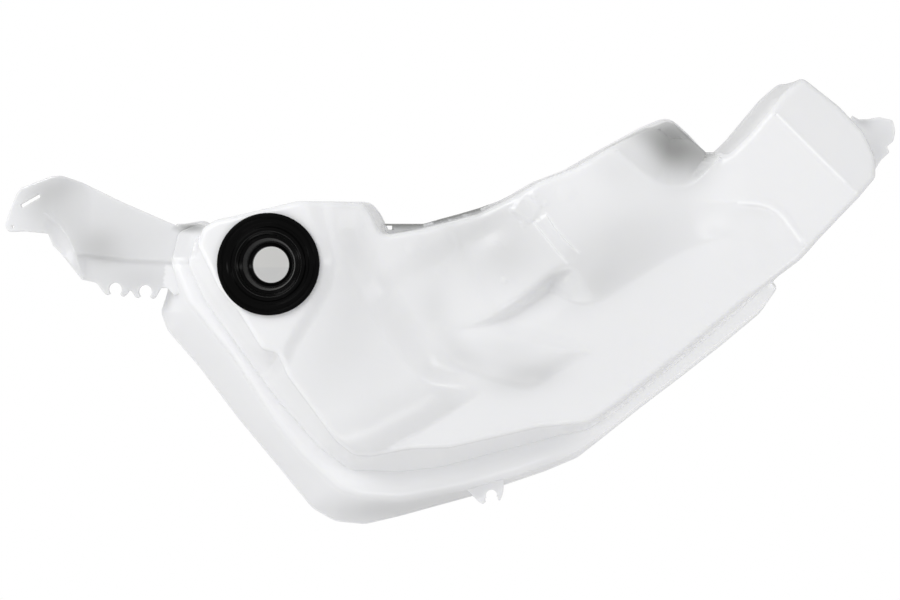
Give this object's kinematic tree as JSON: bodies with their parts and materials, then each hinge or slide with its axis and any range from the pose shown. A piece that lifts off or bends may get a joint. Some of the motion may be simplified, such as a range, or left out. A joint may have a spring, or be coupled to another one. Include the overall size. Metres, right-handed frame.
{
  "type": "washer fluid reservoir",
  "caption": "Blow-moulded translucent white washer fluid tank with a folded bracket arm, hose clips and a black rubber filler grommet.",
  "frame": {"origin": "middle of the underside: the tank lies on its back on the surface", "axes": "+Z out of the front panel, where the filler opens, +X towards the narrow upper end, +Y towards the upper edge"},
  "size_m": [0.5868, 0.2984, 0.112],
  "materials": {
    "white_polyethylene": "smooth translucent blow-moulded plastic",
    "black_rubber": "smooth moulded rubber"
  },
  "bodies": {
    "root": {"tank": "white_polyethylene", "filler_grommet": "black_rubber"}
  },
  "joints": []
}
